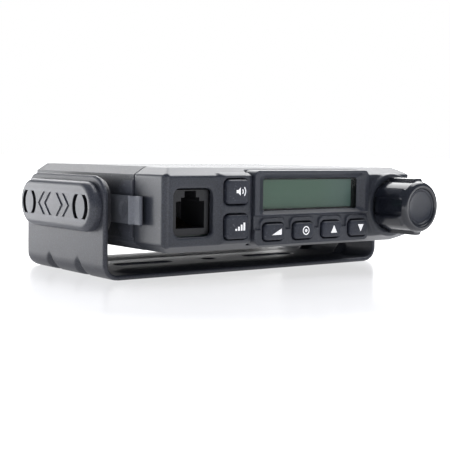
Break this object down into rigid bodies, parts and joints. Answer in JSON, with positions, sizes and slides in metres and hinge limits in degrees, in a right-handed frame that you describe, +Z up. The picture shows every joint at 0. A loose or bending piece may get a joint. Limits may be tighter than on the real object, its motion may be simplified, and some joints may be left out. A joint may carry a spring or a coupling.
{
  "type": "mobile transceiver",
  "caption": "Slim mobile transceiver with display, keys, microphone socket and volume knob, held by side rails and spring latches in a quick-release steel bracket.",
  "frame": {"origin": "centre of the bracket's two fixing slots, on the underside of the bracket", "axes": "+X to the right seen from the front, -Y out of the front face, +Z up"},
  "size_m": [0.1208, 0.1043, 0.0344],
  "materials": {
    "bracket_coat": "fine speckled powder coat",
    "cap_plastic": "satin moulded",
    "guide_plastic": "satin moulded",
    "spring_steel": "blackened spring steel, satin",
    "cover_paint": "fine satin paint",
    "bezel_plastic": "fine spark-eroded texture",
    "window_clear": "clear, hard coated",
    "lcd_face": "grey-green liquid crystal, blank",
    "backlight_white": "diffusing",
    "black_plastic": "moulded",
    "key_rubber": "satin coated silicone",
    "mat_rubber": "moulded silicone",
    "board_green": "solder mask over glass fibre",
    "tinned_steel": "tinned sheet",
    "capacitor_sleeve": "shrink sleeve",
    "transistor_body": "moulded epoxy",
    "bare_aluminium": "milled",
    "speaker_steel": "passivated steel",
    "cone_paper": "pressed paper",
    "gold_contact": "gold flash",
    "plated_metal": "nickel plate",
    "knob_gloss": "smooth semi-gloss",
    "knob_dish": "satin dished face",
    "insulator_white": "moulded",
    "black_screw": "black oxide"
  },
  "bodies": {
    "bracket": {"mounting_bracket": "bracket_coat", "left_cap": "cap_plastic", "right_cap": "cap_plastic", "left_guide": "guide_plastic", "right_guide": "guide_plastic", "guide_screws": "plated_metal"},
    "left_latch": {"left_latch": "spring_steel"},
    "right_latch": {"right_latch": "spring_steel"},
    "knob": {"volume_knob": "knob_gloss", "knob_insert": "knob_dish", "pot_shaft": "plated_metal"},
    "upper_key": {"upper_key": "key_rubber"},
    "lower_key": {"lower_key": "key_rubber"},
    "left_menu_key": {"left_menu_key": "key_rubber"},
    "right_menu_key": {"right_menu_key": "key_rubber"},
    "up_key": {"up_key": "key_rubber"},
    "down_key": {"down_key": "key_rubber"},
    "radio": {"upper_cover": "cover_paint", "lower_cover": "cover_paint", "rear_panel": "cover_paint", "front_bezel": "bezel_plastic", "display_frame": "bezel_plastic", "display_window": "window_clear", "lcd_panel": "lcd_face", "backlight_panel": "backlight_white", "lcd_holder": "black_plastic", "board_connector": "black_plastic", "mic_jack": "black_plastic", "speaker_jack": "black_plastic", "key_mat": "mat_rubber", "power_gland": "mat_rubber", "front_board": "board_green", "main_board": "board_green", "shield_can": "tinned_steel", "filter_cans": "tinned_steel", "capacitors": "capacitor_sleeve", "power_transistors": "transistor_body", "heat_spreader": "bare_aluminium", "speaker_basket": "speaker_steel", "speaker_magnet": "speaker_steel", "volume_pot": "speaker_steel", "speaker_cone": "cone_paper", "mic_jack_contacts": "gold_contact", "antenna_contact": "gold_contact", "pot_nut": "plated_metal", "antenna_socket": "plated_metal", "antenna_nut": "plated_metal", "board_screws": "plated_metal", "antenna_insulator": "insulator_white", "cover_screws": "black_screw", "bezel_screws": "black_screw", "rear_screws": "black_screw"}
  },
  "joints": [
    {"name": "radio_slide", "type": "slide", "parent": "bracket", "child": "radio", "axis": [0, -1, 0], "range_m": [0, 0.04], "deforming": ["left_latch", "right_latch"]},
    {"name": "left_latch_flex", "type": "hinge", "parent": "bracket", "child": "left_latch", "pos_m": [-0.0515, -0.01, 0.0219], "axis": [0, 0, -1], "range_deg": [0, 5], "stiffness_Nm_per_rad": 1.6},
    {"name": "right_latch_flex", "type": "hinge", "parent": "bracket", "child": "right_latch", "pos_m": [0.0515, -0.01, 0.0219], "axis": [0, 0, 1], "range_deg": [0, 5], "stiffness_Nm_per_rad": 1.6},
    {"name": "volume_turn", "type": "hinge", "parent": "radio", "child": "knob", "pos_m": [0.0402, -0.055, 0.0218], "axis": [0, 1, 0], "range_deg": [0, 300]},
    {"name": "upper_key_press", "type": "slide", "parent": "radio", "child": "upper_key", "axis": [0, 1, 0], "range_m": [0, 0.0008], "stiffness_N_per_m": 800},
    {"name": "lower_key_press", "type": "slide", "parent": "radio", "child": "lower_key", "axis": [0, 1, 0], "range_m": [0, 0.0008], "stiffness_N_per_m": 800},
    {"name": "left_menu_key_press", "type": "slide", "parent": "radio", "child": "left_menu_key", "axis": [0, 1, 0], "range_m": [0, 0.0008], "stiffness_N_per_m": 800},
    {"name": "right_menu_key_press", "type": "slide", "parent": "radio", "child": "right_menu_key", "axis": [0, 1, 0], "range_m": [0, 0.0008], "stiffness_N_per_m": 800},
    {"name": "up_key_press", "type": "slide", "parent": "radio", "child": "up_key", "axis": [0, 1, 0], "range_m": [0, 0.0008], "stiffness_N_per_m": 800},
    {"name": "down_key_press", "type": "slide", "parent": "radio", "child": "down_key", "axis": [0, 1, 0], "range_m": [0, 0.0008], "stiffness_N_per_m": 800}
  ]
}
